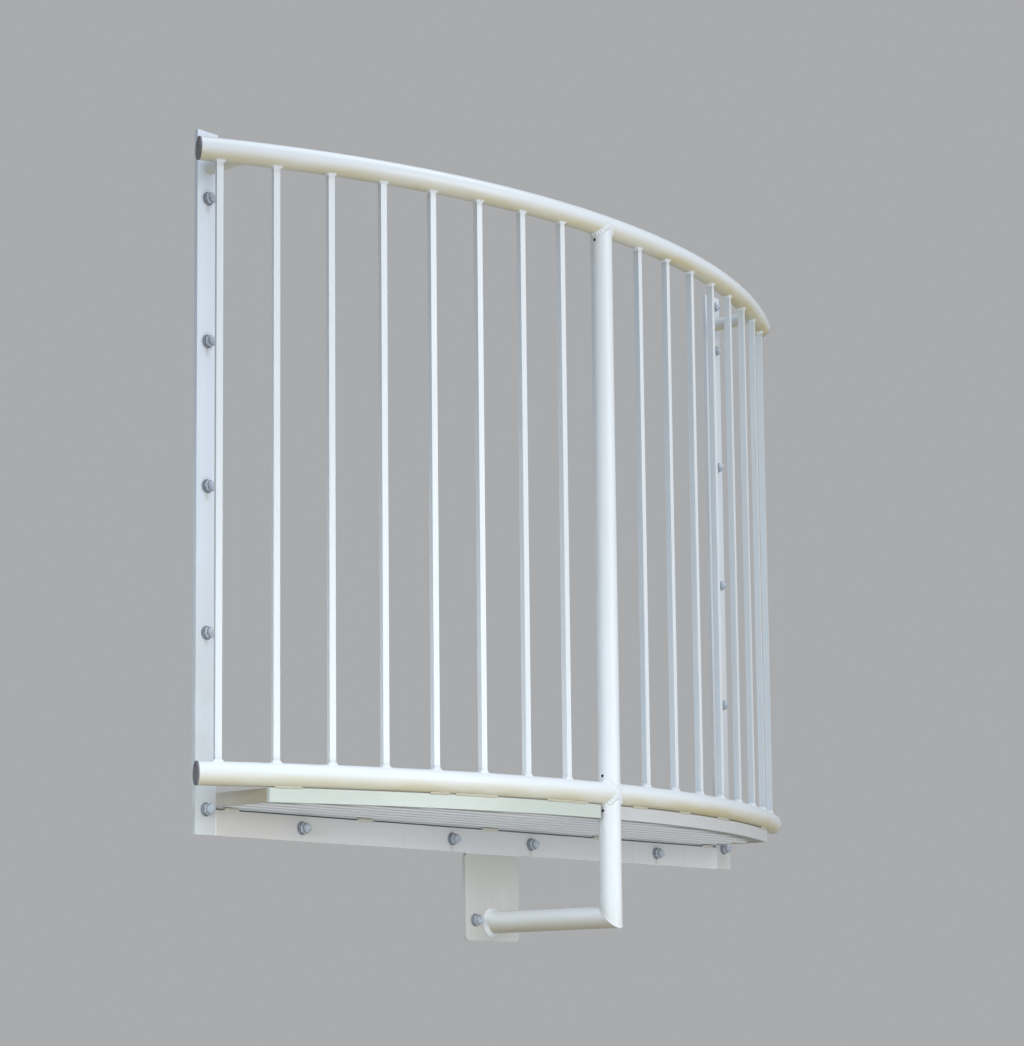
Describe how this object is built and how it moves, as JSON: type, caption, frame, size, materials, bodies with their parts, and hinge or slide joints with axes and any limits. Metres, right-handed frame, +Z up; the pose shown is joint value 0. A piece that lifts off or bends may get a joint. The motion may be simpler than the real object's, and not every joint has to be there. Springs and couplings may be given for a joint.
{
  "type": "juliet balcony",
  "caption": "Bowed white steel juliet balcony: tube rails with square bars on a flat-bar wall frame, shallow ribbed deck, middle post and mitred strut to a drop plate.",
  "frame": {"origin": "midway along the sill plate's wall face, 25 mm above its lower edge", "axes": "+Y into the wall, +X along the wall to the right seen from outside, +Z up"},
  "size_m": [1.7224, 0.326, 1.445],
  "materials": {
    "white_paint": "gloss white paint, a little dirty",
    "cap_plastic": "weathered dark grey",
    "anchor_zinc": "dull zinc plate"
  },
  "bodies": {
    "root": {"left_wall_plate": "white_paint", "right_wall_plate": "white_paint", "sill_wall_plate": "white_paint", "drop_plate": "white_paint", "handrail": "white_paint", "bottom_rail": "white_paint", "handrail_left_cap": "cap_plastic", "handrail_right_cap": "cap_plastic", "bottom_rail_left_cap": "cap_plastic", "bottom_rail_right_cap": "cap_plastic", "baluster_01": "white_paint", "baluster_02": "white_paint", "baluster_03": "white_paint", "baluster_04": "white_paint", "baluster_05": "white_paint", "baluster_06": "white_paint", "baluster_07": "white_paint", "baluster_08": "white_paint", "baluster_09": "white_paint", "baluster_10": "white_paint", "baluster_11": "white_paint", "baluster_12": "white_paint", "baluster_13": "white_paint", "baluster_14": "white_paint", "baluster_15": "white_paint", "baluster_16": "white_paint", "upper_post": "white_paint", "lower_post": "white_paint", "strut": "white_paint", "left_standoff": "white_paint", "right_standoff": "white_paint", "deck_bearing_strip": "white_paint", "left_deck_return": "white_paint", "right_deck_return": "white_paint", "left_deck_edging": "white_paint", "right_deck_edging": "white_paint", "deck_sheet": "white_paint"}
  },
  "joints": []
}
